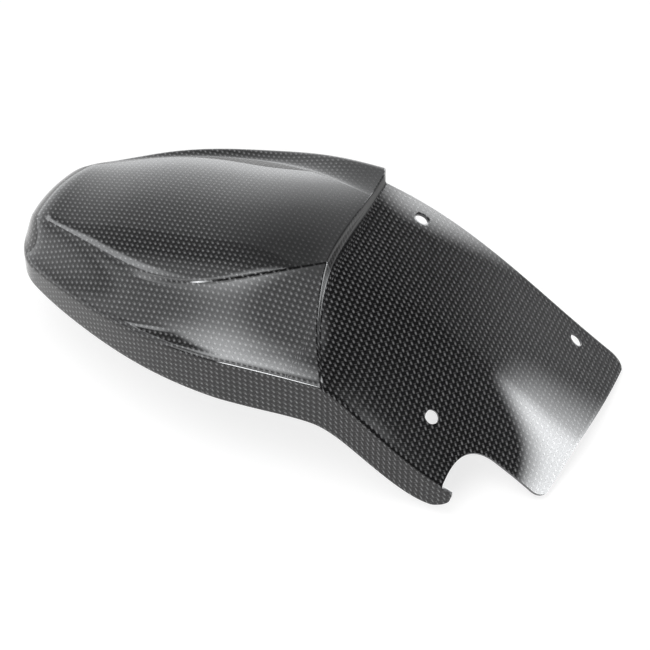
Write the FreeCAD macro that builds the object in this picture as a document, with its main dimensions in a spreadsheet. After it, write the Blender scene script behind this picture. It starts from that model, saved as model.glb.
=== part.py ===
import FreeCAD, Part
import os
import Sketcher

# Rear mudguard moulded as one carbon laminate shell, in millimetres.
# While modelling, X runs forward along the wheel, Y to the far side and Z up, from a datum over the step.
# The rear half is a hollow cap with a leaf-shaped blade on top. The front half is an open plate that
# drops from a step at the blade's front edge, with a flange and a notch on its near side.
# The finished shell is moved so that its origin is the centre of the near fixing hole.

doc = FreeCAD.newDocument("rear_mudguard")
sizes = doc.addObject("Spreadsheet::Sheet", "sizes")


class Row:
    count = 0


def size(name, value):
    """Put one driving dimension in the next row of the sheet."""
    Row.count += 1
    cell = "A%d" % Row.count
    sizes.set(cell, str(value))
    sizes.setAlias(cell, name)


# Single sizes: laminate, plate, its trimmed outline and the bores
SIZES = {
    "wall": 1.65,
    "rim_depth": 60,
    "core_overrun": 6,
    "plate_far_half": 54,
    "plate_near_half": 101,
    "plate_hip_half": 25,
    "plate_hip_drop": 0.8,
    "plate_pitch": 33,
    "plate_overrun": 4.35,
    "gutter_dip": 2,
    "front_far_reach": 148,
    "front_near_reach": 136,
    "front_bulge": 5.6,
    "tab_half": 71.8,
    "far_corner_radius": 9,
    "tab_corner_radius": 7,
    "flank_end_reach": 87,
    "notch_length": 18.5,
    "notch_half": 70,
    "notch_land": 4.35,
    "flange_end_reach": 92.3,
    "flange_end_fall": 86,
    "flange_end_length": 16,
    "flange_end_depth": 10,
    "flange_cut": 8,
    "trim_margin": 20,
    "trim_height": 800,
    "hole_radius": 4,
    "hole_cut_length": 40,
}
for name, value in SIZES.items():
    size(name, value)

# How the section curves are steered, as shares of the widths and drops
SHARES = {
    "flute_outer_share": 0.75,
    "flute_inner_share": 0.2,
    "flute_dip_share": 1.4,
    "bead_lean_share": 0.6,
    "flank_upper_share": 0.3,
    "flank_upper_fall": 0.08,
    "flank_lower_share": 0.6,
    "flank_core_share": 0.4,
    "plate_crown_share": 0.2,
    "plate_crown_lift": 1.5,
    "plate_flank_share": 0.3,
    "plate_flank_fall": 2.5,
    "plate_gutter_share": 0.4,
}
for name, value in SHARES.items():
    size(name, value)

# Rear cap, station by station from the tail tip to the step.
# run: distance to the station in front.  crown_fall: blade crown below the datum.
# ridge and flute give half width, width and drop of the blade edge and the far valley.
# flank_drop: near crest below the ridge.  bead: height of the small wall along the blade edge.
# crest_half: near crest from the middle. The two stations by the step have the plate's instead.
REAR_FIELDS = ("run", "crown_fall", "ridge_half", "ridge_drop", "flute_width", "flute_drop",
               "flank_drop", "bead", "crest_half")
REAR_STATIONS = {
    "tip": (9, 43, 9, 1.5, 4.5, 2.5, 6.5, 0.6, 18),
    "stern": (18, 31.5, 20, 2.5, 7, 3, 14.5, 0.8, 35.5),
    "aft": (36, 24, 31.3, 3.4, 8.5, 2.8, 17.8, 1.3, 53.3),
    "quarter": (55, 17.2, 46.8, 6.2, 12, 1.8, 17.3, 2.4, 73),
    "wide": (45, 10, 60.2, 10.5, 16, 1.2, 15.5, 3, 94),
    "fore": (36, 4.8, 49, 7, 23, 0.2, 21.2, 2),
    "step": (4, 4.5, 32.5, 1.2, 30.5, 0.2, 26.3, 0.8),
}
for station, values in REAR_STATIONS.items():
    for field, value in zip(REAR_FIELDS, values):
        size(station + "_" + field, value)

# Front plate, station by station from the step forward.
# run: distance from the station behind; the last one lies at the trimmed front end and its overrun.
# fall: plate crown below the datum.
# far_drop: far edge below the crown.  crest_drop: near fold below the crown.  hem_drop: flange height.
PLATE_FIELDS = ("fall", "far_drop", "crest_drop", "hem_drop", "run")
PLATE_STATIONS = {
    "root": (9.5, 0.2, 23.5, 27, 0),
    "bend": (15.8, 1.2, 16.2, 28.2, 22),
    "upper": (25.7, 2.2, 22.3, 26, 24),
    "lower": (50.4, 3.8, 26.6, 18, 42),
    "tab": (74.6, 4.8, 17.5, 17, 35),
    "front": (98, 5, 16, 16),
}
for station, values in PLATE_STATIONS.items():
    for field, value in zip(PLATE_FIELDS, values):
        size("plate_" + station + "_" + field, value)

# Fixing holes, square to the plate: two on the far side, one on the near side
HOLE_FIELDS = ("reach", "side", "fall", "pitch", "roll")
HOLES = {
    "rear_far": (24.3, 40.1, 20.4, 22.6, 2.5),
    "front_far": (120.2, 40.5, 80.7, 35.4, 5.3),
    "near": (69.6, -69.5, 63.7, 31.5, -22),
}
for hole, values in HOLES.items():
    for field, value in zip(HOLE_FIELDS, values):
        size(hole + "_hole_" + field, value)
doc.recompute()

body = doc.addObject("PartDesign::Body", "mudguard_shell")
body.Label = "mudguard_shell"


def origin_plane(role):
    return [item for item in body.Origin.OriginFeatures if item.Role == role][0]


def ref(name):
    return "sizes." + name


def evaluate(expression):
    """Number that a sheet expression gives now, used to place a sketch's first guess."""
    value = sizes.evalExpression(expression)
    return float(getattr(value, "Value", value))


def new_sketch(name, role, offset_expression=None):
    sketch = body.newObject("Sketcher::SketchObject", name)
    sketch.AttachmentSupport = [(origin_plane(role), "")]
    sketch.MapMode = "FlatFace"
    if offset_expression:
        sketch.setExpression("AttachmentOffset.Base.z", offset_expression)
    return sketch


def pin(sketch, geometry, vertex, point):
    """Tie one vertex to a pair of sheet expressions."""
    for kind, expression in zip(("DistanceX", "DistanceY"), point):
        value = evaluate(expression)
        index = sketch.addConstraint(Sketcher.Constraint(kind, -1, 1, geometry, vertex, value))
        sketch.setExpression("Constraints[%d]" % index, expression)


def vector(point):
    return FreeCAD.Vector(evaluate(point[0]), evaluate(point[1]), 0)


def add_curve(sketch, points):
    """A straight edge through two points, or a smooth curve steered by three or four."""
    if len(points) == 2:
        edge = sketch.addGeometry(Part.LineSegment(vector(points[0]), vector(points[1])))
        pin(sketch, edge, 1, points[0])
        pin(sketch, edge, 2, points[1])
        return
    curve = Part.BSplineCurve()
    curve.buildFromPoles([vector(point) for point in points], False, len(points) - 1)
    edge = sketch.addGeometry(curve)
    sketch.exposeInternalGeometry(edge)
    for number, point in enumerate(points):
        pin(sketch, edge + 1 + number, 3, point)


def closed_profile(sketch, curves):
    for points in curves:
        add_curve(sketch, points)


def loft(kind, name, sketches):
    feature = body.newObject(kind, name)
    feature.Profile = sketches[0]
    feature.Sections = sketches[1:]
    feature.Ruled = False
    doc.recompute()


def pocket(sketch, name, length_expression, both_sides):
    feature = body.newObject("PartDesign::Pocket", name)
    feature.Profile = sketch
    feature.Type = "Length"
    if both_sides:
        feature.SideType = "Symmetric"
    feature.setExpression("Length", length_expression)
    doc.recompute()


def rear_place(station):
    """X of a rear station: the runs from the datum back to it."""
    names = list(REAR_STATIONS)
    back = names[names.index(station):]
    return "-(" + " + ".join(ref(name + "_run") for name in back) + ")"


def rear_profile(station, inset):
    """Closed section of the rear cap; inset is 0 outside and 1 wall inside."""
    s = {field: ref(station + "_" + field) for field in REAR_FIELDS}
    if len(REAR_STATIONS[station]) < len(REAR_FIELDS):
        s["crest_half"] = ref("plate_near_half")
    flank = "(%(crest_half)s - %(ridge_half)s)" % s
    skin = ref("wall") + " * %d" % inset
    lean = ref("flank_core_share") + " * " + skin
    floor = "-(" + ref("rim_depth") + " + " + ref("core_overrun") + " * %d)" % inset
    ridge_level = "-(%(crown_fall)s + %(ridge_drop)s)" % s
    far_level = ridge_level + " - %(flute_drop)s - " % s + skin
    crest_level = ridge_level + " - %(flank_drop)s - " % s + skin
    foot_level = ridge_level + " - %(bead)s" % s
    far_half = "%(ridge_half)s + %(flute_width)s - " % s + skin
    near_half = "-%(crest_half)s + " % s + skin
    flute = "(%(flute_width)s - " % s + skin + ")"

    def flute_side(share):
        return s["ridge_half"] + " + " + ref(share) + " * " + flute

    def flank_side(share):
        return "-(" + s["ridge_half"] + " + " + ref(share) + " * " + flank + ") + " + lean

    far_foot = (far_half, floor)
    far_shoulder = (far_half, far_level)
    flute_outer = (flute_side("flute_outer_share"), far_level)
    flute_inner = (flute_side("flute_inner_share"),
                   ridge_level + " - " + ref("flute_dip_share") + " * %(bead)s - " % s + skin)
    far_ridge = (s["ridge_half"], ridge_level + " - " + skin)
    crown = ("0", "-%(crown_fall)s + %(ridge_drop)s - " % s + skin)
    near_ridge = ("-" + s["ridge_half"], ridge_level + " - " + skin)
    near_foot = ("-(%(ridge_half)s + %(bead)s * " % s + ref("bead_lean_share") + ") + " + lean,
                 foot_level + " - " + skin)
    flank_upper = (flank_side("flank_upper_share"),
                   foot_level + " - " + ref("flank_upper_fall") + " * " + flank + " - " + skin)
    flank_lower = (flank_side("flank_lower_share"), crest_level)
    crest = (near_half, crest_level)
    near_base = (near_half, floor)
    return [
        (far_foot, far_shoulder),
        (far_shoulder, flute_outer, flute_inner, far_ridge),
        (far_ridge, crown, near_ridge),
        (near_ridge, near_foot),
        (near_foot, flank_upper, flank_lower, crest),
        (crest, near_base),
        (near_base, far_foot),
    ]


def rear_sketches(prefix, inset):
    sketches = []
    names = list(REAR_STATIONS)
    for station in names:
        place = rear_place(station)
        if inset and station == names[0]:
            place += " + " + ref("wall")
        if inset and station == names[-1]:
            place += " - " + ref("wall")
        sketch = new_sketch(prefix + "_" + station, "YZ_Plane", place)
        closed_profile(sketch, rear_profile(station, inset))
        sketches.append(sketch)
    return sketches


def plate_place(station):
    """X of a plate station: the front end, or the runs from the step's inner face forward to it."""
    names = list(PLATE_STATIONS)
    if station == names[-1]:
        return ref("front_far_reach") + " + " + ref("plate_overrun")
    ahead = names[:names.index(station) + 1]
    start = "-(" + ref("step_run") + " + " + ref("wall") + ")"
    return start + " + " + " + ".join(ref("plate_" + name + "_run") for name in ahead)


def plate_sections(station):
    """Outer and inner curves of the thin plate section, between the far edge and the near hem."""
    s = {field: ref("plate_" + station + "_" + field) for field in PLATE_FIELDS}
    skin = ref("wall") + " / cos(" + ref("plate_pitch") + ")"
    far_half = ref("plate_far_half")
    near_half = ref("plate_near_half")
    hip_half = ref("plate_hip_half")
    hip_drop = ref("plate_hip_drop")
    inner_side = "-(" + near_half + " - " + ref("wall") + ")"
    flank = "(" + near_half + " - " + hip_half + ")"
    crown_level = "-%(fall)s" % s
    crest_level = crown_level + " - %(crest_drop)s" % s
    hem_level = crest_level + " - %(hem_drop)s" % s

    def under(point):
        return (point[0], point[1] + " - " + skin)

    far_edge = (far_half, crown_level + " - %(far_drop)s" % s)
    crown = (ref("plate_crown_share") + " * " + far_half,
             crown_level + " + " + ref("plate_crown_lift") + " * " + hip_drop)
    hip = ("-" + hip_half, crown_level + " - " + hip_drop)
    flank_upper = ("-(" + hip_half + " + " + ref("plate_flank_share") + " * " + flank + ")",
                   crown_level + " - " + ref("plate_flank_fall") + " * " + hip_drop)
    flank_lower = ("-(" + near_half + " - " + ref("plate_gutter_share") + " * " + flank + ")",
                   crest_level + " - " + ref("gutter_dip"))
    crest = ("-" + near_half, crest_level)
    hem = ("-" + near_half, hem_level)
    inner_hem = (inner_side, hem_level)
    inner_crest = (inner_side, crest_level + " - " + skin)
    outer = [
        (far_edge, crown, hip),
        (hip, flank_upper, flank_lower, crest),
        (crest, hem),
    ]
    inner = [
        (inner_hem, inner_crest),
        (inner_crest, under(flank_lower), under(flank_upper), under(hip)),
        (under(hip), under(crown), under(far_edge)),
    ]
    return outer, inner


def plate_sketches():
    sketches = []
    for station in PLATE_STATIONS:
        outer, inner = plate_sections(station)
        hem = (outer[-1][-1], inner[0][0])
        far_edge = (inner[-1][-1], outer[0][0])
        sketch = new_sketch("plate_" + station, "YZ_Plane", plate_place(station))
        closed_profile(sketch, outer + [hem] + inner + [far_edge])
        sketches.append(sketch)
    return sketches


def step_window():
    """Opens the wall under the step, so that the plate's underside runs on into the cap."""
    sketch = new_sketch("window_profile", "YZ_Plane", "-" + ref("step_run"))
    underside = plate_sections("root")[1][1:]
    inner_crest = underside[0][0]
    far_under = underside[-1][-1]
    floor = "-(" + ref("rim_depth") + " + " + ref("core_overrun") + ")"
    far_half = ref("step_ridge_half") + " + " + ref("step_flute_width") + " - " + ref("wall")
    far_top = (far_half, far_under[1])
    far_floor = (far_half, floor)
    near_floor = (inner_crest[0], floor)
    closed_profile(sketch, underside + [(far_under, far_top), (far_top, far_floor),
                                        (far_floor, near_floor), (near_floor, inner_crest)])
    pocket(sketch, "window", "2 * " + ref("wall"), False)


def plan_trim():
    """Cuts the plate's front edge and the notch in front of the near flange, corners rounded."""
    sketch = new_sketch("plan_outline", "XY_Plane")
    margin = ref("trim_margin")
    far_side = ref("plate_far_half")
    tab_side = "-" + ref("tab_half")
    notch_side = "-" + ref("notch_half")
    beyond = ref("front_far_reach") + " + " + margin
    outside = "-(" + ref("plate_near_half") + " + " + margin + ")"
    clear = far_side + " + " + margin
    far_start = ref("front_far_reach") + " - " + ref("far_corner_radius")
    far_end = far_side + " - " + ref("far_corner_radius")
    tab_start = tab_side + " + " + ref("tab_corner_radius")
    tab_end = ref("front_near_reach") + " - " + ref("tab_corner_radius")
    front_middle = "(%s + %s) / 2 + " % (ref("front_far_reach"), ref("front_near_reach")) + ref("front_bulge")
    front_centre = "(%s + %s) / 2" % (far_end, tab_start)
    notch_start = ref("flank_end_reach") + " + " + ref("notch_length")
    flange_side = "-(" + ref("plate_near_half") + " - " + ref("wall") + ")"
    notch_end = flange_side + " + " + ref("notch_land")
    outline = [
        [(far_start, clear), (far_start, far_side)],
        [(ref("front_far_reach"), far_side), (ref("front_far_reach"), far_end)],
        [(front_middle, front_centre), (ref("front_near_reach"), tab_start)],
        [(ref("front_near_reach"), tab_side), (tab_end, tab_side)],
        [(notch_start, notch_side)],
        [(ref("flank_end_reach"), notch_side), (ref("flank_end_reach"), notch_end)],
        [(ref("flank_end_reach"), flange_side)],
        [(ref("flange_end_reach"), flange_side)],
        [(ref("flange_end_reach"), outside)],
        [(beyond, outside)],
        [(beyond, clear)],
        [(far_start, clear)],
    ]
    curves = [tuple(outline[0])]
    for points in outline[1:]:
        curves.append((curves[-1][-1],) + tuple(points))
    closed_profile(sketch, curves)
    pocket(sketch, "plan_cut", ref("trim_height"), True)


def flange_trim():
    """Rounds the lower corner where the near flange ends at the notch."""
    sketch = new_sketch("flange_end", "XZ_Plane", ref("plate_near_half") + " + " + ref("wall"))
    end = ref("flange_end_reach")
    start = end + " - " + ref("flange_end_length")
    upper = "-" + ref("flange_end_fall")
    lower = upper + " - " + ref("flange_end_depth")
    beyond = end + " + " + ref("trim_margin")
    below = lower + " - " + ref("trim_margin")
    corners = [(start, lower), (start, below), (beyond, below), (beyond, upper), (end, upper)]
    rounding = ((end, upper), (end, lower), (start, lower))
    closed_profile(sketch, list(zip(corners, corners[1:])) + [rounding])
    pocket(sketch, "flange_corner", ref("flange_cut"), False)


def fixing_hole(hole):
    sketch = new_sketch(hole + "_hole_circle", "XY_Plane")
    place = {field: ref(hole + "_hole_" + field) for field in HOLE_FIELDS}
    sketch.setExpression("AttachmentOffset.Base.x", place["reach"])
    sketch.setExpression("AttachmentOffset.Base.y", place["side"])
    sketch.setExpression("AttachmentOffset.Base.z", "-" + place["fall"])
    sketch.setExpression("AttachmentOffset.Rotation.Pitch", place["pitch"] + " * 1 deg")
    sketch.setExpression("AttachmentOffset.Rotation.Roll", "-" + place["roll"] + " * 1 deg")
    radius = evaluate(ref("hole_radius"))
    ring = sketch.addGeometry(Part.Circle(FreeCAD.Vector(), FreeCAD.Vector(0, 0, 1), radius))
    sketch.addConstraint(Sketcher.Constraint("Coincident", ring, 3, -1, 1))
    index = sketch.addConstraint(Sketcher.Constraint("Radius", ring, radius))
    sketch.setExpression("Constraints[%d]" % index, ref("hole_radius"))
    pocket(sketch, hole + "_hole", ref("hole_cut_length"), True)


loft("PartDesign::AdditiveLoft", "rear_form", rear_sketches("outer", 0))
loft("PartDesign::SubtractiveLoft", "rear_hollow", rear_sketches("inner", 1))
step_window()
loft("PartDesign::AdditiveLoft", "plate_form", plate_sketches())
plan_trim()
flange_trim()
for hole in HOLES:
    fixing_hole(hole)
body.setExpression("Placement.Base.x", "-" + ref("near_hole_reach"))
body.setExpression("Placement.Base.y", "-" + ref("near_hole_side"))
body.setExpression("Placement.Base.z", ref("near_hole_fall"))
doc.recompute()

for item in doc.Objects:
    if "Invalid" in item.State or "Error" in item.State:
        raise RuntimeError(item.Name + " failed to build")
if body.Shape.isNull() or not body.Shape.isValid() or len(body.Shape.Solids) != 1:
    raise RuntimeError("mudguard_shell is not one sound solid")
os.makedirs("parts", exist_ok=True)
body.Shape.exportStep("parts/mudguard_shell.step")
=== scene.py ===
import math

import bpy
import numpy as np
from mathutils import Matrix, Vector


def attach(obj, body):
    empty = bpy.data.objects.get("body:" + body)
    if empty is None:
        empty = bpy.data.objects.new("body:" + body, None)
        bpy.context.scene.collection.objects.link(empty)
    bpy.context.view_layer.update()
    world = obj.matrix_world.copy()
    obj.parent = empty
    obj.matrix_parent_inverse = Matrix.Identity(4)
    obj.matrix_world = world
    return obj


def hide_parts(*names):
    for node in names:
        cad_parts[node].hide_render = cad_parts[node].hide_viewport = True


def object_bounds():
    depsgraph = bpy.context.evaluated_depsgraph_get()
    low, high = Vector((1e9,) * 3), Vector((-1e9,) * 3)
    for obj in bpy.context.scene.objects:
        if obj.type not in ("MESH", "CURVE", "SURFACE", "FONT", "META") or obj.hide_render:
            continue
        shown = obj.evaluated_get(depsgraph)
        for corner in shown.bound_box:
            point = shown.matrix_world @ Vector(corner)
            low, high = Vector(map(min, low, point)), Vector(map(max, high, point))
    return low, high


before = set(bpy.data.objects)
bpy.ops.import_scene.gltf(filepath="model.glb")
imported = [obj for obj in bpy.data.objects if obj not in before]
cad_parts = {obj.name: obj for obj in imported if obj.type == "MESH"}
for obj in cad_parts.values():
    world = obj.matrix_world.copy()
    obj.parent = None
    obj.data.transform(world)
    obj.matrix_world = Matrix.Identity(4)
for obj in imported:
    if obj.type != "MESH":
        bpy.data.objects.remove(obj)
cad_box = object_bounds()

# Everything is drawn in millimetres from the datum over the step, as the part's source is,
# and moved to the near fixing hole and to metres at the end.
MM = 0.001
NEAR_HOLE = np.array((69.6, -69.5, -63.7))
WALL = 1.65
RIM_LEVEL = -60.0

# Fixing holes: centre, and the plate's pitch there in degrees
HOLE_RADIUS = 4.0
HOLES = {
    "rear_far": ((24.3, 40.1, -20.4), 22.6),
    "front_far": ((120.2, 40.5, -80.7), 35.4),
    "near": (tuple(NEAR_HOLE), 31.5),
}
FAR_HOLE_ROW = (HOLES["rear_far"][0][1] + HOLES["front_far"][0][1]) / 2

# Rear cap: distance behind the datum, then the blade crown, ridge, flute, flank and bead there
REAR_X = (-203, -194, -176, -140, -85, -40, -4)
CROWN_FALL = (43, 31.5, 24, 17.2, 10, 4.8, 4.5)
RIDGE_HALF = (9, 20, 31.3, 46.8, 60.2, 49, 32.5)
RIDGE_DROP = (1.5, 2.5, 3.4, 6.2, 10.5, 7, 1.2)
FLUTE_WIDTH = (4.5, 7, 8.5, 12, 16, 23, 30.5)
FLUTE_DROP = (2.5, 3, 2.8, 1.8, 1.2, 0.2, 0.2)
FLANK_WIDTH = (9, 15.5, 22, 26.2, 33.8, 52, 68.5)
FLANK_DROP = (6.5, 14.5, 17.8, 17.3, 15.5, 21.2, 26.3)
BEAD_DROP = (0.6, 0.8, 1.3, 2.4, 3, 2, 0.8)

# Pull of the flute and the flank on their curves, and the flank's swell towards the crest
FLUTE_PULL = 1.4
FLANK_SAG = 0.13
FLANK_LEAN = 1.5

# Width of the bead as a share of its drop, and where and over what run it grows towards the tail
BEAD_SHARE = 0.6
BEAD_GROWTH = 0.6
BEAD_TURN = -85.0
BEAD_TURN_RUN = 25.0

# Front plate: distance ahead of the datum, then its crown, far edge and near crest there
PLATE_X = (-5.65, 16.35, 40.35, 82.35, 117.35, 152.35)
PLATE_FALL = (9.5, 15.8, 25.7, 50.4, 74.6, 98)
FAR_DROP = (0.2, 1.2, 2.2, 3.8, 4.8, 5)
CREST_DROP = (23.5, 16.2, 22.3, 26.6, 17.5, 16)
PLATE_FAR = 54.0
PLATE_NEAR = 101.0
HIP_HALF = 25.0
HIP_DROP = 0.8
HIP_RISE = 1.5
HIP_ROLL = 2.5
GUTTER_DIP = 2.0

# Step line in plan, the step's run and how far its curve carries into the skin beside it
LIP_SIDE = (-101, -68, -45, 20, 63)
LIP_X = (18, 2.8, -3.6, -4.6, -4.5)
STEP_RUN = 2.6
STEP_BLEND = 2.0
LIP_CARRY = 70.0

# Hem of the near flange
HEM_X = (-210, -60, -20, 8, 16.35, 40.35, 62, 76, 92)
HEM_Z = (-60, -60, -60, -59.4, -60.4, -74, -88.6, -94.6, -95.6)
LEAST_WALL = 0.6

# Trimmed outline of the plate
FRONT_FAR = 148.0
FRONT_NEAR = 136.0
FRONT_BULGE = 5.6
TAB_SIDE = -71.8
NOTCH_SIDE = -70.0
FLANK_END = 87.0
FLANGE_END = 92.3
FAR_CORNER = 9.0
TAB_CORNER = 7.0
NOTCH_LENGTH = 18.5
NOTCH_LAND = 4.35
FLANGE_ROUND_LENGTH = 16.0
FLANGE_ROUND_TOP = -86.0
FLANGE_ROUND_DEPTH = 10.0

# Fold radii, the tail's taper and the dressing of cut edges
CREST_FOLD = 2.2
SHOULDER_FOLD = 3.0
TAIL_FOLD = 6.0
TAIL_TAPER = 0.6
EDGE_DRESSING = 0.25
DRESSED_ANGLE = 60
SHARP_ANGLE = 50

# Lengthwise rows of the skin's grid, closest beside the ridges, the bead, the holes and the folds
RIDGE_ROW = 32.5
BEAD_ROW = 33.5
FAR_ROW = 49.2
FAR_RIDGE_ROWS = (33.1, 32.8, 32.5, 32.2, 31.8, 31.2)
BLADE_ROW = 30.0
NEAR_RIDGE_ROWS = (-31.2, -31.8, -32.2, -32.5, -32.8, -33.1, -33.5, -33.9, -34.5, -35.4)
FLANK_ROWS = (-37.0, -61.0)
CREST_ROWS = (-78.0, -97.0)
ROW_STEP = 2.0
CREST_ROW_STEP = 1.9
HOLE_ROWS = np.array((0.9, 1.8, 2.7, 3.7, 4.6, 5.6, 6.8))
HOLE_RING = 3.7
RING_INSIDE = 0.99
RING_REACH = 1.95
RING_EASE = 1.5

# Cross rows of the grid, by their place before they bend along the step
BEFORE_LIP = -8.0
LIP_COLUMNS = (-6, -4.5, -3.2, -2.2, -1.5, -1, -0.6, -0.3, 0, 0.3,
               0.7, 1.1, 1.5, 1.9, 2.3, 2.6, 3, 3.6, 4.6, 6)
AFTER_LIP = 8.0
FAR_WALL_END = -0.3
TRIM_COLUMN = 127.8
COLUMN_STEP = 1.9
FOLD_GAP = 1.5
BAND_GAP = 1.2
TRIAL_COLUMNS = np.linspace(-120, 150, 5401)
SETTLING_ROUNDS = 4
CURVE_POINTS = 401
TINY = 1e-6

# Cross rows at which the near edge stretches towards the flank's cut corner and reaches it,
# at which the notch's straight stretch, its sweep and the tab's side end, and the steps between them
STRETCH_COLUMN = 76.5
CORNER_COLUMN = 80.5
LAND_COLUMN = 83.2
SWEEP_COLUMN = 104.0
TAB_COLUMN = 122.0
STRETCH_STEP = 0.6
LAND_STEP = 0.45
LAND_GAP = 1.0
SWEEP_STEP = 1.2
TAB_STEP = 1.7
SWING_SIDE = 60.0

# Hanging wall: rows down it, points across the flange's end,
# and how much the edge's rise and fall counts in the cloth's run along it
WALL_ROWS = 14
FLANGE_END_POINTS = 6
WALL_SLOPE_SHARE = 0.5

# Cloth's length along the crown, with the step smoothed out
CROWN_POINTS = 1500
STEP_PLACE = -5.0
STEP_REACH = 3.0
STEP_DROP = 4.5
STEP_SLOPE = 0.2

# Cloth: tow width, its turn to the length, how far tows wander and how the fibres in them run
TOW = 2.3
UV_PER_MM = 0.01
WEAVE_TURN = 45
TOW_WANDER = 0.012
FIBRE_LONG = 0.6
FIBRE_FINE = 9.0
TOW_ROUNDNESS = 0.6
CELL_NARROWNESS = 3.5
LIT_EDGE_PLACE = 0.86
LIT_EDGE_FALL = -7.0
FIBRE_CONTRAST = 0.7
GLINT_LEVEL = 0.65
UNDER_LEVEL = 0.3
GAP_SHADE = 0.45
TOW_RELIEF = 0.0002
# Colours of the tows' painted highlights and of the dark cloth, outside and inside, then of the ply edge
OUTSIDE_PAINTED_GLINT = (0.17, 0.171, 0.174, 1)
OUTSIDE_DARK = (0.009, 0.009, 0.0095, 1)
INSIDE_PAINTED_GLINT = (0.09, 0.091, 0.094, 1)
INSIDE_DARK = (0.02, 0.02, 0.021, 1)
PLY_DARK = (0.012, 0.012, 0.013, 1)
PLY_PALE = (0.09, 0.09, 0.095, 1)

# Where the weave's painted highlights fade on the crown, as the light falls there, in metres: height and
# length over which that sets in
GLINT_FADE_HEIGHT = (0.0505, 0.056)
GLINT_FADE_LENGTH = (-0.175, -0.105)
GLINT_FADE_SHARE = -0.8


def spline(knots, values):
    """Natural cubic curve through the stations, held level beyond its ends."""
    x = np.array(knots, float)
    y = np.array(values, float)
    h = np.diff(x)
    n = len(x)
    matrix = np.eye(n)
    right = np.zeros(n)
    for k in range(1, n - 1):
        matrix[k, k - 1:k + 2] = h[k - 1], 2 * (h[k - 1] + h[k]), h[k]
        right[k] = 6 * ((y[k + 1] - y[k]) / h[k] - (y[k] - y[k - 1]) / h[k - 1])
    bend = np.linalg.solve(matrix, right)

    def at(place):
        place = np.clip(np.asarray(place, float), x[0], x[-1])
        k = np.clip(np.searchsorted(x, place, side="right") - 1, 0, n - 2)
        a = x[k + 1] - place
        b = place - x[k]
        return ((bend[k] * a ** 3 + bend[k + 1] * b ** 3) / (6 * h[k])
                + (y[k] / h[k] - bend[k] * h[k] / 6) * a
                + (y[k + 1] / h[k] - bend[k + 1] * h[k] / 6) * b)
    return at


crown_fall = spline(REAR_X, CROWN_FALL)
ridge_half = spline(REAR_X, RIDGE_HALF)
ridge_drop = spline(REAR_X, RIDGE_DROP)
flute_width = spline(REAR_X, FLUTE_WIDTH)
flute_drop = spline(REAR_X, FLUTE_DROP)
flank_width = spline(REAR_X, FLANK_WIDTH)
flank_drop = spline(REAR_X, FLANK_DROP)
bead_drop = spline(REAR_X, BEAD_DROP)
plate_fall = spline(PLATE_X, PLATE_FALL)
far_drop = spline(PLATE_X, FAR_DROP)
crest_drop = spline(PLATE_X, CREST_DROP)
lip_place = spline(LIP_SIDE, LIP_X)
hem_level = spline(HEM_X, HEM_Z)


def steered(t, *poles):
    """Curve that starts at its first pole, ends at its last and is pulled by those between."""
    n = len(poles) - 1
    return sum(math.comb(n, k) * (1 - t) ** (n - k) * t ** k * pole for k, pole in enumerate(poles))


def share_curve(*shares):
    """Inverse of a steered curve's side coordinate: how far along the curve a side share is."""
    t = np.linspace(0, 1, CURVE_POINTS)
    side = steered(t, *shares)
    return lambda share: np.interp(share, side, t)


# Each curve's poles, as shares of its width
flute_at = share_curve(0, 0.2, 0.75, 1)
flank_at = share_curve(0, 0.29, 0.59, 1)
crown_at = share_curve(0, 0.453, 1)
gutter_at = share_curve(0, 0.3, 0.6, 1)


def smooth(share):
    share = np.clip(share, 0, 1)
    return share * share * (3 - 2 * share)


def bead_width(x):
    """Width in plan of the bead under the near ridge, which broadens towards the tail."""
    return bead_drop(x) * (BEAD_SHARE + BEAD_GROWTH * smooth((BEAD_TURN - x) / BEAD_TURN_RUN))


def rear_height(x, y):
    """Height of the rear cap's skin over a point in plan."""
    half = ridge_half(x)
    small = bead_drop(x)
    ridge = -crown_fall(x) - ridge_drop(x)
    foot_half = half + bead_width(x)
    far_level = ridge - flute_drop(x)
    crest = ridge - flank_drop(x)
    t = np.clip((half - y) / (2 * half), 0, 1)
    blade = steered(t, ridge, -crown_fall(x) + ridge_drop(x), ridge)
    t = flute_at(np.clip((y - half) / flute_width(x), 0, 1))
    flute = steered(t, ridge, ridge - FLUTE_PULL * small, far_level, far_level)
    wall = ridge - small * np.clip((-y - half) / (foot_half - half), 0, 1)
    t = flank_at(np.clip((-y - foot_half) / (half + flank_width(x) - foot_half), 0, 1))
    foot = ridge - small
    flank = steered(t, foot, foot - FLANK_SAG * flank_width(x), crest + FLANK_LEAN, crest)
    near_side = np.where(y > -foot_half, wall, flank)
    return np.where(y > half, flute, np.where(y > -half, blade, near_side))


def plate_height(x, y):
    """Height of the front plate's skin over a point in plan."""
    fall = plate_fall(x)
    crest = -fall - crest_drop(x)
    hip = -fall - HIP_DROP
    t = crown_at(np.clip((y + HIP_HALF) / (PLATE_FAR + HIP_HALF), 0, 1))
    top = steered(t, hip, -fall + HIP_RISE * HIP_DROP, -fall - far_drop(x))
    t = gutter_at(np.clip((-y - HIP_HALF) / (PLATE_NEAR - HIP_HALF), 0, 1))
    flank = steered(t, hip, -fall - HIP_ROLL * HIP_DROP, crest - GUTTER_DIP, crest)
    return np.where(y > -HIP_HALF, top, flank)


def fold_rows(radius, count=5):
    """Distances from a rounded edge at which the fold's rows lie."""
    turn = np.linspace(0, math.pi / 2, count)
    return radius * (1 - np.sin(turn))[::-1]


def fold_fall(distance, radius):
    """How far a rounded edge has dropped at a distance from its outside."""
    inside = np.clip(radius - distance, 0, radius)
    return radius - np.sqrt(radius ** 2 - inside ** 2)


def spread(start, end, step):
    """Even places from start to end, about a step apart."""
    return np.linspace(start, end, max(2, int(round(abs(end - start) / step)) + 1))


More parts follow.
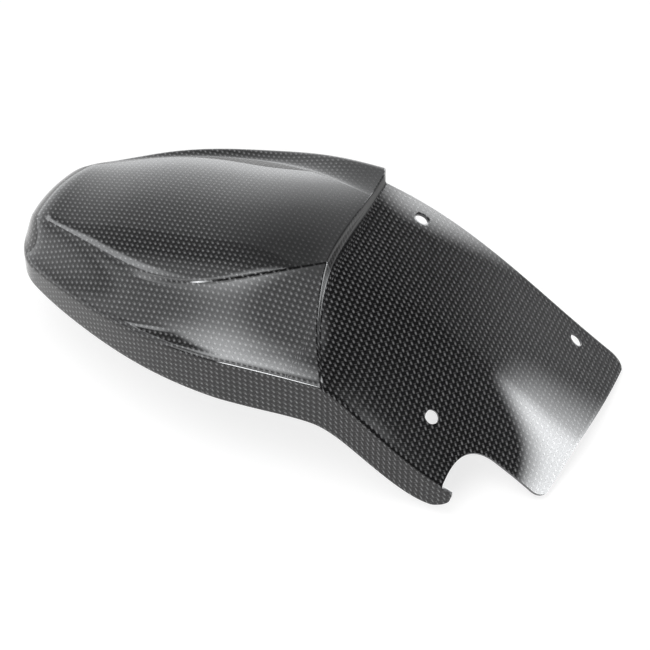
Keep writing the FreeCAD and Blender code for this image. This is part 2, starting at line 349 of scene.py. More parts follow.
def band(centre, stretch=1.0):
    """Rows on both sides of a hole's middle."""
    return np.concatenate((centre - HOLE_ROWS * stretch, [centre], centre + HOLE_ROWS * stretch))


def in_order(runs):
    return np.unique(np.concatenate([np.asarray(run, float) for run in runs]))


def row_sides():
    """Side coordinate of each lengthwise row on the plate, far edge first."""
    return in_order((
        PLATE_FAR - fold_rows(SHOULDER_FOLD),
        (FAR_ROW,),
        band(FAR_HOLE_ROW),
        FAR_RIDGE_ROWS,
        spread(BLADE_ROW, -BLADE_ROW, ROW_STEP),
        NEAR_RIDGE_ROWS,
        spread(*FLANK_ROWS, ROW_STEP),
        band(HOLES["near"][0][1]),
        spread(*CREST_ROWS, CREST_ROW_STEP),
        -PLATE_NEAR + fold_rows(CREST_FOLD),
    ))[::-1]


def lip_weight(column):
    """How much of the step's curve in plan a cross row follows."""
    return np.clip(1 - (column / LIP_CARRY) ** 2, 0, 1) ** 2


def column_of(x, y):
    """Column whose warped place is x at side y."""
    return np.interp(x, TRIAL_COLUMNS + lip_place(y) * lip_weight(TRIAL_COLUMNS), TRIAL_COLUMNS)


def column_places():
    """Lengthwise place of each cross row before it bends along the step."""
    bands = []
    for spot, pitch in HOLES.values():
        bands.append(band(column_of(spot[0], spot[1]), math.cos(math.radians(pitch))))
    rear_hole, near_hole, front_hole = sorted(bands, key=lambda places: places[0])
    return in_order((
        REAR_X[0] + fold_rows(TAIL_FOLD),
        spread(REAR_X[0] + TAIL_FOLD + FOLD_GAP, BEFORE_LIP, COLUMN_STEP),
        LIP_COLUMNS,
        spread(AFTER_LIP, rear_hole[0] - BAND_GAP, COLUMN_STEP),
        rear_hole,
        spread(rear_hole[-1] + FOLD_GAP, near_hole[0] - BAND_GAP, COLUMN_STEP),
        near_hole,
        spread(STRETCH_COLUMN + STRETCH_STEP, CORNER_COLUMN - STRETCH_STEP, STRETCH_STEP),
        spread(CORNER_COLUMN, LAND_COLUMN, LAND_STEP),
        spread(LAND_COLUMN + LAND_GAP, front_hole[0] - BAND_GAP, SWEEP_STEP),
        front_hole,
        spread(front_hole[-1] + BAND_GAP, FRONT_FAR, TAB_STEP),
    ))


def near_edge(columns):
    """The plate's near edge in plan: crest, the flank's cut end, the notch's sweep and the tab's side."""
    land_side = -PLATE_NEAR + WALL + NOTCH_LAND
    sweep_end = FLANK_END + NOTCH_LENGTH
    sweep = np.clip((columns - LAND_COLUMN) / (SWEEP_COLUMN - LAND_COLUMN), 0, 1)
    corner = np.interp(columns, (STRETCH_COLUMN, CORNER_COLUMN), (STRETCH_COLUMN, FLANK_END))
    x = np.where(columns <= CORNER_COLUMN, corner, steered(sweep, FLANK_END, FLANK_END, sweep_end))
    y = np.interp(columns, (CORNER_COLUMN, LAND_COLUMN), (-PLATE_NEAR, land_side))
    y = np.where(sweep > 0, steered(sweep, land_side, NOTCH_SIDE, NOTCH_SIDE), y)
    x = np.where(sweep < 1, x, np.interp(columns, (SWEEP_COLUMN, TAB_COLUMN), (sweep_end, TAB_COLUMN)))
    x = np.where(columns > TAB_COLUMN, columns, x)
    y = np.where(sweep < 1, y, np.interp(x, (sweep_end, FRONT_NEAR - TAB_CORNER), (NOTCH_SIDE, TAB_SIDE)))
    return x, y


def front_edge(y):
    """Lengthwise place of the plate's trimmed front edge at a side coordinate."""
    far_end = PLATE_FAR - FAR_CORNER
    tab_end = TAB_SIDE + TAB_CORNER
    t = np.clip((far_end - y) / (far_end - tab_end), 0, 1)
    x = steered(t, FRONT_FAR, (FRONT_FAR + FRONT_NEAR) / 2 + FRONT_BULGE, FRONT_NEAR)
    x -= fold_fall(PLATE_FAR - y, FAR_CORNER)
    x -= fold_fall(y - TAB_SIDE, TAB_CORNER)
    return x


def follow(sides, marks, places):
    """Moves each lengthwise row so that the marked rows lie at the given places."""
    y = places[-1].copy()
    for k in range(len(marks) - 1):
        inside = (sides >= marks[k]) & (sides <= marks[k + 1])
        share = (sides - marks[k]) / (marks[k + 1] - marks[k])
        y = np.where(inside, places[k] + share * (places[k + 1] - places[k]), y)
    return y


def settled_plan(side, column):
    """Plan places of the grid: lengthwise rows follow the ridges on the cap and run straight on the plate."""
    blunt = np.clip((TAIL_FOLD - (column - REAR_X[0])) / TAIL_FOLD, 0, 1)
    taper = np.sqrt(1 - TAIL_TAPER * blunt ** 2)
    ahead = smooth((column + STEP_BLEND) / (2 * STEP_BLEND))
    marks = (-PLATE_NEAR, -BEAD_ROW, -RIDGE_ROW, RIDGE_ROW, PLATE_FAR)
    y = side
    for _ in range(SETTLING_ROUNDS):
        x = column + lip_place(y) * lip_weight(column)
        rear = np.minimum(x, REAR_X[-1])
        half = ridge_half(rear)
        crest_side = -np.minimum(half + flank_width(rear), PLATE_NEAR)
        far_side = half + flute_width(rear)
        far_side = far_side + (PLATE_FAR - far_side) * ahead
        places = (crest_side, -half - bead_width(rear), -half, half, far_side)
        y = follow(side, marks, [place * taper for place in places])
    return x, y


def skin_grid():
    """Plan places and heights of the shell's upper skin, cross rows by lengthwise rows."""
    sides = row_sides()
    columns = column_places()
    side, column = np.meshgrid(sides, columns)
    x, y = settled_plan(side, column)
    # The near edge swings in at the notch, and the last cross rows end on the front edge.
    edge_x, edge_y = near_edge(columns)
    swing_width = PLATE_NEAR - SWING_SIDE
    pull = np.clip((-SWING_SIDE - sides) / swing_width, 0, 1)
    cut = columns > STRETCH_COLUMN
    squeeze = (-SWING_SIDE - edge_y) / swing_width
    swung = -SWING_SIDE - pull * swing_width * squeeze[:, None]
    y = np.where((pull > 0)[None, :] & cut[:, None], swung, y)
    x = x + ((edge_x - columns) * cut)[:, None] * pull ** 2
    reach = np.clip((column - TRIM_COLUMN) / (FRONT_FAR - TRIM_COLUMN), 0, 1)
    x = np.where(reach > 0, TRIM_COLUMN + reach * (front_edge(y) - TRIM_COLUMN), x)
    # The cap falls to the plate over a short steep run along the step, and its outer edges fold down.
    ramp = smooth(column / STEP_RUN)
    z = rear_height(x, y) * (1 - ramp) + plate_height(x, y) * ramp
    z = z - fold_fall(y[:, :1] - y, SHOULDER_FOLD) * (1 - ramp)
    inside = np.where(column > STRETCH_COLUMN, y + PLATE_NEAR, y - y[:, -1:])
    z = z - fold_fall(inside, CREST_FOLD)
    z = z - fold_fall(column - REAR_X[0], TAIL_FOLD) * (column < REAR_X[0] + TAIL_FOLD)
    return columns, sides, np.stack((x, y, z), axis=2)


def round_holes(columns, sides, skin):
    """Pulls the grid around each hole on to its circle and marks the cells inside it."""
    open_cells = np.zeros((len(columns) - 1, len(sides) - 1), bool)
    for spot, pitch in HOLES.values():
        centre = np.array(spot)
        stretch = math.cos(math.radians(pitch))
        across = (columns - column_of(spot[0], spot[1])) / (HOLE_RING * stretch)
        hole_row = spot[1] if spot[1] < 0 else FAR_HOLE_ROW
        along = (sides - hole_row) / HOLE_RING
        reach = np.maximum(np.abs(across)[:, None], np.abs(along)[None, :])
        near = (reach > RING_INSIDE) & (reach < RING_REACH)
        away = skin - centre
        distance = np.linalg.norm(away, axis=2)
        target = HOLE_RADIUS * reach
        hold = np.clip((RING_REACH - reach) / (RING_REACH - 1), 0, 1) ** RING_EASE
        factor = np.where(near, 1 + hold * (target / np.maximum(distance, TINY) - 1), 1)
        moved = centre + away * factor[:, :, None]
        x, y = moved[..., 0], moved[..., 1]
        lift = np.where(x > lip_place(y), plate_height(x, y), skin[..., 2])
        skin[near, 0] = x[near]
        skin[near, 1] = y[near]
        skin[near, 2] = lift[near]
        corners = reach[:-1, :-1], reach[1:, :-1], reach[:-1, 1:], reach[1:, 1:]
        open_cells |= np.minimum.reduce(corners) < RING_INSIDE
    return open_cells


def crown_length():
    """Lengthwise places, and the cloth's length along the crown up to each."""
    place = np.linspace(REAR_X[0], FRONT_FAR, CROWN_POINTS)
    plate_crown = -plate_fall(place) + STEP_DROP * (place < 0)
    crown = np.where(place < STEP_PLACE, -crown_fall(place), plate_crown)
    slope = np.gradient(crown, place)
    slope[np.abs(place - STEP_PLACE) < STEP_REACH] = STEP_SLOPE
    length = np.concatenate(([0], np.cumsum(np.sqrt(1 + slope[1:] ** 2) * np.diff(place))))
    return place, length


def cloth_girth(sides, skin):
    """Girth of the skin from its middle row, and how much longer it is there than in plan."""
    gaps = np.linalg.norm(np.diff(skin[:, :, 1:], axis=1), axis=2)
    girth = np.concatenate((np.zeros((len(skin), 1)), np.cumsum(gaps, axis=1)), axis=1)
    middle = int(np.argmin(np.abs(sides)))
    stretch = np.gradient(girth, axis=1) / np.minimum(np.gradient(skin[:, :, 1], axis=1), -TINY)
    return girth - girth[:, middle:middle + 1], stretch


def wall_edge(columns, row_count, points, cloth):
    """Points that the wall hangs from, from the flange's end round the tail to the far end of the step.

    The flange's end stands past the skin, so its points are added. Also says how many lie on the near side.
    """
    flange_last = int(np.argmin(np.abs(columns - CORNER_COLUMN)))
    far_last = int(np.argmin(np.abs(columns - FAR_WALL_END)))
    corner = flange_last * row_count + row_count - 1
    edge = []
    for x in np.linspace(FLANGE_END, FLANK_END, FLANGE_END_POINTS)[:-1]:
        edge.append(len(points))
        points.append(np.array((x, -PLATE_NEAR, float(plate_height(x, -PLATE_NEAR)) - CREST_FOLD)))
        cloth.append(cloth[corner])
    edge += [i * row_count + row_count - 1 for i in range(flange_last, -1, -1)]
    near_count = len(edge)
    edge += list(range(row_count - 2, -1, -1))
    edge += [i * row_count for i in range(1, far_last + 1)]
    return edge, near_count


def wall_hem(tops, near_count):
    """Height at which the wall ends under each point of its upper edge."""
    hem = np.full(len(tops), RIM_LEVEL)
    x = tops[:near_count, 0]
    near_hem = hem_level(x)
    past = np.clip((x - (FLANGE_END - FLANGE_ROUND_LENGTH)) / FLANGE_ROUND_LENGTH, 0, 1)
    rounded = FLANGE_ROUND_TOP - FLANGE_ROUND_DEPTH * np.sqrt(1 - past ** 2)
    hem[:near_count] = np.where(past > 0, np.maximum(near_hem, rounded), near_hem)
    return np.minimum(hem, tops[:, 2] - LEAST_WALL)


def arc_lengths(points):
    steps = np.linalg.norm(np.diff(points, axis=0), axis=1)
    return np.concatenate(([0], np.cumsum(steps)))


def hang_wall(edge, near_count, points, faces, cloth):
    """Adds the wall's points and faces, and returns the cloth's place at each point of the wall."""
    tops = np.array([points[k] for k in edge])
    hem = wall_hem(tops, near_count)
    run = arc_lengths(tops * (1, 1, WALL_SLOPE_SHARE))
    wall_cloth = {}
    for number, k in enumerate(edge):
        wall_cloth[k] = (-run[number], cloth[k][1])
    upper = edge
    for row in range(1, WALL_ROWS + 1):
        lower = []
        for number, k in enumerate(edge):
            x, y, top = tops[number]
            z = top + (hem[number] - top) * row / WALL_ROWS
            wall_cloth[len(points)] = (-run[number], cloth[k][1] + top - z)
            lower.append(len(points))
            points.append(np.array((x, y, z)))
        for number in range(len(edge) - 1):
            faces.append((upper[number], upper[number + 1], lower[number + 1], lower[number]))
        upper = lower
    return wall_cloth


def shell_mesh():
    """One skin of quads: the upper skin and the wall that hangs from its near, tail and far edges."""
    columns, sides, skin = skin_grid()
    column_count, row_count = len(columns), len(sides)
    girth, stretch = cloth_girth(sides, skin)
    plain_side = skin[:, :, 1].copy()
    open_cells = round_holes(columns, sides, skin)
    place, length = crown_length()
    cloth_u = np.interp(skin[:, :, 0], place, length)
    cloth_v = girth + stretch * (skin[:, :, 1] - plain_side)
    cloth = list(np.stack((cloth_u, cloth_v), axis=2).reshape(-1, 2))
    points = list(skin.reshape(-1, 3))
    faces = []
    for i in range(column_count - 1):
        for j in range(row_count - 1):
            if not open_cells[i, j]:
                a = i * row_count + j
                faces.append((a, a + 1, a + row_count + 1, a + row_count))
    skin_faces = len(faces)
    edge, near_count = wall_edge(columns, row_count, points, cloth)
    wall_cloth = hang_wall(edge, near_count, points, faces, cloth)
    mesh = bpy.data.meshes.new("mudguard_shell_skin")
    mesh.from_pydata([tuple((p - NEAR_HOLE) * MM) for p in points], [], faces)
    layer = mesh.uv_layers.new(name="cloth")
    for number, polygon in enumerate(mesh.polygons):
        for corner in polygon.loop_indices:
            k = mesh.loops[corner].vertex_index
            u, v = wall_cloth[k] if number >= skin_faces else cloth[k]
            layer.data[corner].uv = (u * UV_PER_MM, v * UV_PER_MM)
    mesh.validate()
    return mesh


class Nodes:
    """Short hand for building a shader tree."""

    def __init__(self, tree):
        self.tree = tree

    def add(self, kind, **sockets):
        node = self.tree.nodes.new(kind)
        for name, value in sockets.items():
            self.put(node, name, value)
        return node

    def put(self, node, name, value):
        """Sets or links an input by its name, or by its number after an underscore."""
        numbered = name[0] == "_" and name[1:].isdigit()
        socket = node.inputs[int(name[1:])] if numbered else node.inputs[name]
        if isinstance(value, bpy.types.NodeSocket):
            self.tree.links.new(value, socket)
        else:
            socket.default_value = value

    def math(self, operation, first, second=None, third=None):
        node = self.tree.nodes.new("ShaderNodeMath")
        node.operation = operation
        for slot, value in enumerate((first, second, third)):
            if value is not None:
                self.put(node, "_%d" % slot, value)
        return node.outputs[0]

    def vector(self, operation, first, second):
        node = self.add("ShaderNodeVectorMath", _0=first, _1=second)
        node.operation = operation
        return node

    def mix(self, share, first, second):
        return self.add("ShaderNodeMix", _0=share, _2=first, _3=second).outputs[0]

    def blend(self, share, first, second):
        node = self.tree.nodes.new("ShaderNodeMix")
        node.data_type = "RGBA"
        self.put(node, "_0", share)
        self.put(node, "_6", first)
        self.put(node, "_7", second)
        return node.outputs[2]

    def between(self, value, low, high):
        """0 below low, 1 above high and smooth between; the ends may be given the other way round."""
        node = self.add("ShaderNodeMapRange", Value=value, _1=low, _2=high)
        node.interpolation_type = "SMOOTHSTEP"
        return node.outputs[0]


def new_material(name):
    material = bpy.data.materials.new(name)
    material.use_nodes = True
    material.node_tree.nodes.clear()
    return material, Nodes(material.node_tree)


def woven_place(n):
    """Place on the cloth in tow widths, turned to the tows and wandering a little."""
    uv = n.add("ShaderNodeUVMap")
    uv.uv_map = "cloth"
    wander = n.add("ShaderNodeTexNoise", Vector=uv.outputs["UV"], Scale=3.0, Detail=2.0)
    shift = n.vector("MULTIPLY", wander.outputs["Color"], (TOW_WANDER, TOW_WANDER, 0.0))
    placed = n.vector("ADD", uv.outputs["UV"], shift.outputs[0])
    turned = n.add("ShaderNodeMapping", Vector=placed.outputs[0])
    turned.inputs["Rotation"].default_value = (0, 0, math.radians(WEAVE_TURN))
    tows = 1 / (TOW * UV_PER_MM)
    turned.inputs["Scale"].default_value = (tows, tows, tows)
    return turned.outputs[0]


def fibres(n, place, along, across):
    """Fine streaks of the fibres in one set of tows."""
    stretched = n.add("ShaderNodeMapping", Vector=place)
    stretched.inputs["Scale"].default_value = (along, across, 1.0)
    return n.add("ShaderNodeTexNoise", Vector=stretched.outputs[0], Scale=1.0, Detail=3.0).outputs["Fac"]


def painted_glint_fade(n):
    """Share of the weave's painted glint that is left, less towards the front of the crown, as the light
    falls there.
    """
    spot = n.add("ShaderNodeSeparateXYZ", Vector=n.add("ShaderNodeTexCoord").outputs["Object"])
    high = n.between(spot.outputs["Z"], *GLINT_FADE_HEIGHT)
    forward = n.between(spot.outputs["X"], *GLINT_FADE_LENGTH)
    return n.math("MULTIPLY_ADD", n.math("MULTIPLY", high, forward), GLINT_FADE_SHARE, 1.0)


def carbon_cloth(name, bright, dark, edge_share, coat, roughness, relief):
    """Plain-weave carbon under clear coat, its weave pattern real and its highlights painted into the base
    colour: one set of tows shows painted lit cells, the other painted lit edges.
    """
    material, n = new_material(name)
    place = woven_place(n)
    split = n.add("ShaderNodeSeparateXYZ", Vector=place)
    a, b = split.outputs["X"], split.outputs["Y"]
    warp = n.math("FLOORED_MODULO", n.math("ADD", n.math("FLOOR", a), n.math("FLOOR", b)), 2.0)
    place_b = n.math("FRACT", b)
    across_a = n.math("SINE", n.math("MULTIPLY", n.math("FRACT", a), math.pi))
    across_b = n.math("SINE", n.math("MULTIPLY", place_b, math.pi))
    height = n.math("POWER", n.math("MULTIPLY", across_a, across_b), TOW_ROUNDNESS)
    lengthwise = fibres(n, place, FIBRE_LONG, FIBRE_FINE)
    crosswise = fibres(n, place, FIBRE_FINE, FIBRE_LONG)
    fibre = n.mix(warp, lengthwise, crosswise)
    tow_tone = n.add("ShaderNodeTexNoise", Vector=place, Scale=0.35, Detail=1.0).outputs["Fac"]

    # Painted highlights: the lit cells of one tow set and the lit edges of the other are colour, not made by
    # the lamps
    lit_cell = n.math("MULTIPLY", n.math("POWER", across_a, CELL_NARROWNESS), across_b)
    off_edge = n.math("ABSOLUTE", n.math("SUBTRACT", place_b, LIT_EDGE_PLACE))
    lit_edge = n.math("MAXIMUM", n.math("MULTIPLY_ADD", off_edge, LIT_EDGE_FALL, 1.0), 0.0)
    lit_edge = n.math("MULTIPLY", n.math("MULTIPLY", lit_edge, across_a), edge_share)
    glint = n.mix(warp, lit_edge, lit_cell)
    for unevenness in (fibre, tow_tone):
        glint = n.math("MULTIPLY", glint, n.math("MULTIPLY_ADD", unevenness, FIBRE_CONTRAST, GLINT_LEVEL))
    # Painted highlights dimmed towards the front of the crown
    glint = n.math("MULTIPLY", glint, painted_glint_fade(n))

    under = n.math("MULTIPLY", height, n.math("MULTIPLY_ADD", fibre, FIBRE_CONTRAST, UNDER_LEVEL))
    gap = (dark[0] * GAP_SHADE, dark[1] * GAP_SHADE, dark[2] * GAP_SHADE, 1)
    # The glint goes into the base colour here as a painted highlight over the dark cloth
    colour = n.blend(glint, n.blend(under, gap, dark), bright)
    bump = n.add("ShaderNodeBump", Height=height, Strength=relief, Distance=TOW_RELIEF)
    shader = n.add("ShaderNodeBsdfPrincipled", **{
        "Base Color": colour,
        "Roughness": roughness,
        "Specular IOR Level": 0.02,
        "Coat Weight": coat,
        "Coat Roughness": 0.025,
        "Coat IOR": 1.5,
        "Normal": bump.outputs[0],
    })
    n.add("ShaderNodeOutputMaterial", Surface=shader.outputs[0])
    return material


def cut_edge():
    """Trimmed laminate edge: plies showing as fine dark lines."""
    material, n = new_material("laminate_edge")
    place = n.add("ShaderNodeTexCoord")
    grain = n.add("ShaderNodeTexNoise", Vector=place.outputs["Object"], Scale=900.0, Detail=2.0)
    plies = grain.outputs["Fac"]
    bump = n.add("ShaderNodeBump", Height=plies, Strength=0.2, Distance=0.0001)
    shader = n.add("ShaderNodeBsdfPrincipled", **{
        "Base Color": n.blend(plies, PLY_DARK, PLY_PALE),
        "Roughness": 0.35,
        "Coat Weight": 0.6,
        "Coat Roughness": 0.1,
        "Normal": bump.outputs[0],
    })
    n.add("ShaderNodeOutputMaterial", Surface=shader.outputs[0])
    return material


def finished(source, name):
    """Plain mesh object from a modified one, at the origin."""
    depsgraph = bpy.context.evaluated_depsgraph_get()
    mesh = bpy.data.meshes.new_from_object(source.evaluated_get(depsgraph))
    mesh.name = name
    bpy.data.objects.remove(source)
    piece = bpy.data.objects.new(name, mesh)
    bpy.context.scene.collection.objects.link(piece)
    return piece


def moulded_shell():
    """The mudguard: the skin with its wall thickness, dressed edges and cloth."""
    mesh = shell_mesh()
    # Both skins carry the weave's painted highlights in their base colour
    mesh.materials.append(carbon_cloth("carbon_outside", OUTSIDE_PAINTED_GLINT, OUTSIDE_DARK,
                                       edge_share=0.45, coat=1.0, roughness=0.42, relief=0.35))
    mesh.materials.append(carbon_cloth("carbon_inside", INSIDE_PAINTED_GLINT, INSIDE_DARK,
                                       edge_share=0.3, coat=0.15, roughness=0.5, relief=0.5))
    mesh.materials.append(cut_edge())
    source = bpy.data.objects.new("shell_source", mesh)
    bpy.context.scene.collection.objects.link(source)
    thick = source.modifiers.new("laminate", "SOLIDIFY")
    thick.thickness = WALL * MM
    thick.offset = -1
    thick.use_even_offset = False
    thick.use_quality_normals = True
    thick.material_offset = 1
    thick.material_offset_rim = 2
    rounding = source.modifiers.new("dressed_edges", "BEVEL")
    rounding.width = EDGE_DRESSING * MM
    rounding.segments = 2
    rounding.limit_method = "ANGLE"
    rounding.angle_limit = math.radians(DRESSED_ANGLE)
    piece = finished(source, "mudguard_laminate")
    for polygon in piece.data.polygons:
        polygon.use_smooth = True
    piece.data.set_sharp_from_angle(angle=math.radians(SHARP_ANGLE))
    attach(piece, "root")
    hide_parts("mudguard_shell")


# Camera, found from the photograph: its right, up and back directions, its distance to the target,
# the target's place along right and up, and the millimetres to a photo pixel
RIGHT = np.array((0.930, 0.3665, 0.0))
UP = np.array((-0.2356, 0.598, 0.766))
BACK = np.array((0.281, -0.713, 0.643))
CAMERA_DISTANCE = 1000.0
TARGET_RIGHT = -17.63
TARGET_UP = -57.23
PHOTO_PIXELS = 650
PIXEL = 0.55
SENSOR = 36


def set_camera():
    target = TARGET_RIGHT * RIGHT + TARGET_UP * UP
    place = (target + CAMERA_DISTANCE * BACK - NEAR_HOLE) * MM
    data = bpy.data.cameras.new("photo_view")
    data.sensor_width = SENSOR
    data.lens = SENSOR * CAMERA_DISTANCE / (PIXEL * PHOTO_PIXELS)
    camera = bpy.data.objects.new("photo_view", data)
    turn = Matrix((RIGHT, UP, BACK)).transposed().to_4x4()
    camera.matrix_world = Matrix.Translation(Vector(place)) @ turn
    bpy.context.scene.collection.objects.link(camera)
    bpy.context.scene.camera = camera


def direction(azimuth, elevation):
    """Unit vector; azimuth 0 is forward, 90 is the far side."""
    a, e = math.radians(azimuth), math.radians(elevation)
    return Vector((math.cos(e) * math.cos(a), math.cos(e) * math.sin(a), math.sin(e)))


def area_lamp(name, place, away, width, height, watts):
    """Rectangular lamp whose back is turned in the direction away."""
    data = bpy.data.lights.new(name, "AREA")
    data.shape = "RECTANGLE"
    data.size = width
    data.size_y = height
    data.energy = watts
    lamp = bpy.data.objects.new(name, data)
    lamp.matrix_world = Matrix.Translation(place) @ away.to_track_quat("Z", "Y").to_matrix().to_4x4()
    bpy.context.scene.collection.objects.link(lamp)
    return lamp


def softbox(name, azimuth, elevation, distance, width, height, watts):
    """Lamp that lights the cloth; what the clear coat mirrors is in the world and on the cards instead."""
    middle = (Vector(cad_box[0]) + Vector(cad_box[1])) / 2
    away = direction(azimuth, elevation)
    lamp = area_lamp(name, middle + away * distance, away, width, height, watts)
    lamp.visible_glossy = False


# Directions over a card's face, whose width and height both run from 0 to 1
ACROSS = (1.0, 0.0, 0.0)
UPWARD = (0.0, 1.0, 0.0)
ASLANT = (0.5, 1.0, 0.0)
CARD_COLOUR = (0.97, 0.985, 1, 1)


def card(name, place, azimuth, elevation, width, height, radiance, fades):
    """Soft-edged card close to the part, seen only in the clear coat.

    Each fade is a direction over the face and the places along it that are dark and bright.
    """
    watts = radiance * math.pi * width * height
    lamp = area_lamp(name, place, direction(azimuth, elevation), width, height, watts)
    lamp.visible_camera = False
    lamp.visible_diffuse = False
    lamp.data.use_nodes = True
    lamp.data.node_tree.nodes.clear()
    n = Nodes(lamp.data.node_tree)
    face = n.add("ShaderNodeNewGeometry").outputs["Parametric"]
    strength = 1.0
    for way, dark_end, bright_end in fades:
        along = n.vector("DOT_PRODUCT", face, way).outputs["Value"]
        strength = n.math("MULTIPLY", n.between(along, dark_end, bright_end), strength)
    light = n.add("ShaderNodeEmission", Color=CARD_COLOUR, Strength=strength)
    n.add("ShaderNodeOutputLight", Surface=light.outputs[0])


FLOOR_GAP = 0.001
FLOOR_REACH = 6.0
FLOOR_BOUNCE = (0.85, 0.85, 0.85, 1)
FLOOR_SHADE = (0.3, 0.3, 0.3, 1)
FLOOR_GLOW = 0.78
WHITE = (1, 1, 1, 1)


def white_floor():
    """Floor that looks white but for the part's shadow, and throws plain light back at the part."""
    low = cad_box[0][2] - FLOOR_GAP
    corners = [(x * FLOOR_REACH, y * FLOOR_REACH, low) for x, y in ((-1, -1), (1, -1), (1, 1), (-1, 1))]
    mesh = bpy.data.meshes.new("floor")
    mesh.from_pydata(corners, [], [(0, 1, 2, 3)])
    floor = bpy.data.objects.new("floor", mesh)
    bpy.context.scene.collection.objects.link(floor)
    material, n = new_material("white_floor")
    bounce = n.add("ShaderNodeBsdfDiffuse", Color=FLOOR_BOUNCE)
    shade = n.add("ShaderNodeBsdfDiffuse", Color=FLOOR_SHADE)
    glow = n.add("ShaderNodeEmission", Color=WHITE, Strength=FLOOR_GLOW)
    both = n.add("ShaderNodeAddShader", _0=shade.outputs[0], _1=glow.outputs[0])
    path = n.add("ShaderNodeLightPath")
    seen = n.math("MAXIMUM", path.outputs["Is Camera Ray"], path.outputs["Is Glossy Ray"])
    pick = n.add("ShaderNodeMixShader", _0=seen, _1=bounce.outputs[0], _2=both.outputs[0])
    n.add("ShaderNodeOutputMaterial", Surface=pick.outputs[0])
    mesh.materials.append(material)


def facing(n, ray, azimuth, elevation):
    """Cosine of the angle between a ray and a direction."""
    return n.vector("DOT_PRODUCT", ray, direction(azimuth, elevation)).outputs["Value"]


def lobe(n, ray, azimuth, elevation, tightness, strength):
    """Round soft light in the mirrored studio."""
    lit = n.math("POWER", n.math("MAXIMUM", facing(n, ray, azimuth, elevation), 0.0), tightness)
    return n.math("MULTIPLY", lit, strength)


def panel(n, ray, azimuth, elevation, inner, outer, strength):
    """Round light with an even face and a soft edge between two angles from its middle."""
    edge = math.cos(math.radians(outer)), math.cos(math.radians(inner))
    lit = n.between(facing(n, ray, azimuth, elevation), *edge)
    return n.math("MULTIPLY", lit, strength)


# Soft edges of the near sky, as parts of the ray's side, length and height
NEAR_SKY_SIDE = (0.36, 0.24)
NEAR_SKY_BACK = (-0.05, -0.2)
NEAR_SKY_HEIGHT = (0.55, 0.7)


def near_sky(n, split):
    """Even pale sky high behind the tail, which the near flank mirrors."""
    side = n.between(split.outputs["Y"], *NEAR_SKY_SIDE)
    back = n.between(split.outputs["X"], *NEAR_SKY_BACK)
    high = n.between(split.outputs["Z"], *NEAR_SKY_HEIGHT)
    return n.math("MULTIPLY", n.math("MULTIPLY", side, back), high)


# Pale sweep behind the part: the azimuth of its middle, its strength at each elevation,
# and the soft edge of its sides
SWEEP_MIDDLE = 160
SWEEP = (
    (-10, 2.4),
    (4, 2.4),
    (12, 1.8),
    (22, 1.4),
    (32, 0.9),
    (43, 0.62),
    (48, 0.46),
    (56, 0.4),
    (80, 0.1),
)
SWEEP_LIMIT = 2.4
SWEEP_SIDE = (72, 58)

# Dark board in front of the sweep: the lean of its two edges, where each softens, and how much it takes away
BOARD_FAR_LEAN = 0.72
BOARD_FAR_EDGE = (8.8, 10.8)
BOARD_NEAR_LEAN = -0.4
BOARD_NEAR_EDGE = (-22.0, -27.0)
BOARD_SHARE = -0.4

# The far light's soft edge beside the sweep, the faint light from everywhere, and the light on the cloth
FAR_LIGHT_SIDE = (62, 74)
FAINT_LIGHT = 0.05
AMBIENT_LIGHT = 0.35
DEGREES = 180 / math.pi


def sweep_light(n, elevation, swing):
    """Strength of the sweep, with the dark board that the near half of the blade mirrors."""
    low, high = SWEEP[0][0], SWEEP[-1][0]
    level = n.math("MULTIPLY_ADD", elevation, 1 / (high - low), -low / (high - low))
    ramp = n.add("ShaderNodeValToRGB", Fac=level)
    elements = ramp.color_ramp.elements
    while len(elements) < len(SWEEP):
        elements.new(0.5)
    for element, (angle, strength) in zip(elements, SWEEP):
        element.position = (angle - low) / (high - low)
        shade = strength / SWEEP_LIMIT
        element.color = (shade, shade, shade, 1)
    sweep = n.math("MULTIPLY", ramp.outputs["Color"], SWEEP_LIMIT)
    behind = n.between(n.math("ABSOLUTE", swing), *SWEEP_SIDE)
    far_side = n.between(n.math("MULTIPLY_ADD", elevation, BOARD_FAR_LEAN, swing), *BOARD_FAR_EDGE)
    near_side = n.between(n.math("MULTIPLY_ADD", elevation, BOARD_NEAR_LEAN, swing), *BOARD_NEAR_EDGE)
    left = n.math("MULTIPLY_ADD", n.math("MULTIPLY", far_side, near_side), BOARD_SHARE, 1.0)
    return n.math("MULTIPLY", n.math("MULTIPLY", behind, sweep), left)


def mirrored_studio(n, ray):
    """Strength of the studio in each direction, as glossy rays meet it."""
    split = n.add("ShaderNodeSeparateXYZ", Vector=ray)
    elevation = n.math("MULTIPLY", n.math("ARCSINE", split.outputs["Z"]), DEGREES)
    turned = n.add("ShaderNodeVectorRotate", Vector=ray, Angle=math.radians(-SWEEP_MIDDLE))
    turned.rotation_type = "Z_AXIS"
    flat = n.add("ShaderNodeSeparateXYZ", Vector=turned.outputs[0])
    swing = n.math("MULTIPLY", n.math("ARCTAN2", flat.outputs["Y"], flat.outputs["X"]), DEGREES)
    far_light = panel(n, ray, azimuth=90, elevation=12, inner=21.5, outer=26.5, strength=8.0)
    beside = n.between(n.math("ABSOLUTE", swing), *FAR_LIGHT_SIDE)
    lights = (
        sweep_light(n, elevation, swing),
        n.math("MULTIPLY", far_light, beside),
        near_sky(n, split),
        lobe(n, ray, azimuth=50, elevation=12, tightness=30, strength=0.8),
        panel(n, ray, azimuth=-118, elevation=44, inner=18, outer=30, strength=2.5),
    )
    total = FAINT_LIGHT
    for light in lights:
        total = n.math("ADD", light, total)
    return total


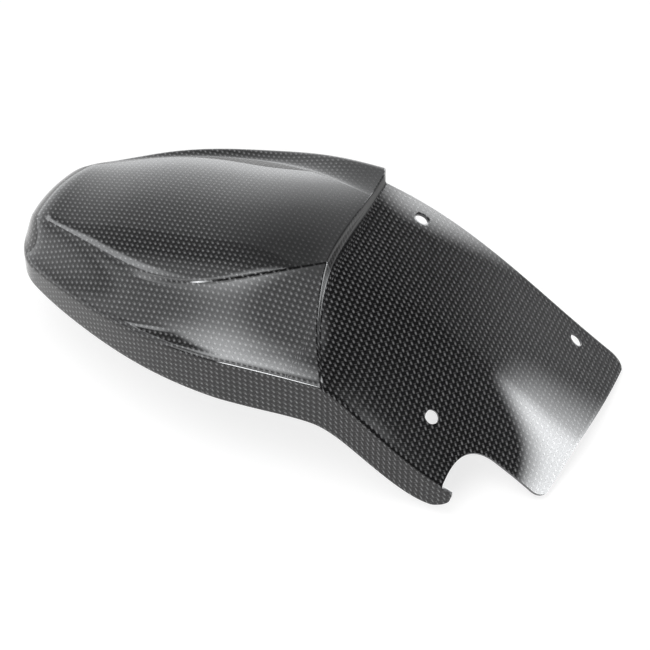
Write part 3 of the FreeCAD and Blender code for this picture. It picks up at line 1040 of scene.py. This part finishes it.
def studio_world():
    """White behind the part, an even light on the cloth, and the mirrored studio for the clear coat."""
    world = bpy.data.worlds.new("studio")
    world.use_nodes = True
    world.node_tree.nodes.clear()
    n = Nodes(world.node_tree)
    ray = n.add("ShaderNodeTexCoord").outputs["Generated"]
    path = n.add("ShaderNodeLightPath")
    mirrored = n.add("ShaderNodeBackground", Color=(0.98, 0.99, 1, 1), Strength=mirrored_studio(n, ray))
    ambient = n.add("ShaderNodeBackground", Color=WHITE, Strength=AMBIENT_LIGHT)
    backdrop = n.add("ShaderNodeBackground", Color=WHITE, Strength=1.0)
    glossy = path.outputs["Is Glossy Ray"]
    lit = n.add("ShaderNodeMixShader", _0=glossy, _1=ambient.outputs[0], _2=mirrored.outputs[0])
    camera = path.outputs["Is Camera Ray"]
    seen = n.add("ShaderNodeMixShader", _0=camera, _1=lit.outputs[0], _2=backdrop.outputs[0])
    n.add("ShaderNodeOutputWorld", Surface=seen.outputs[0])
    bpy.context.scene.world = world


def studio():
    white_floor()
    studio_world()
    softbox("top_box", azimuth=-120, elevation=68, distance=1.6, width=1.2, height=1.2, watts=14)
    softbox("front_box", azimuth=40, elevation=30, distance=1.6, width=0.7, height=0.5, watts=4)
    softbox("near_fill", azimuth=-95, elevation=25, distance=1.8, width=1.0, height=0.6, watts=12)
    # The tab and the plate's front mirror the first card, and the near flank, ridge and crest the others.
    card("front_card", (0.301, 0.177, 0.082),
         azimuth=25, elevation=35, width=0.35, height=0.33, radiance=18.5,
         fades=((ACROSS, 0.0, 0.28), (ACROSS, 1.0, 0.4), (UPWARD, 0.0, 0.5), (UPWARD, 0.96, 0.76),
                (ASLANT, 1.2, 1.04)))
    card("rear_card", (-0.1632, 0.0258, 0.1645),
         azimuth=140, elevation=55, width=0.16, height=0.096, radiance=8.2,
         fades=((ACROSS, 0.0, 0.1), (ACROSS, 0.92, 0.42), (UPWARD, 1.0, 0.33), (ASLANT, 0.37, 0.5)))
    card("ridge_card", (-0.396, 0.126, 0.2453),
         azimuth=144, elevation=63, width=0.026, height=0.24, radiance=4.0,
         fades=((ACROSS, 0.0, 0.25), (ACROSS, 1.0, 0.6), (UPWARD, 0.0, 0.1), (UPWARD, 1.0, 0.85)))
    card("crest_card", (-0.2103, -0.3185, 0.1145),
         azimuth=-116, elevation=38, width=0.16, height=0.13, radiance=30.0,
         fades=((ACROSS, 0.2, 0.45), (ACROSS, 1.0, 0.85), (UPWARD, 0.0, 0.3), (UPWARD, 1.0, 0.85)))


moulded_shell()
set_camera()
studio()
bpy.context.scene.view_settings.view_transform = "Standard"
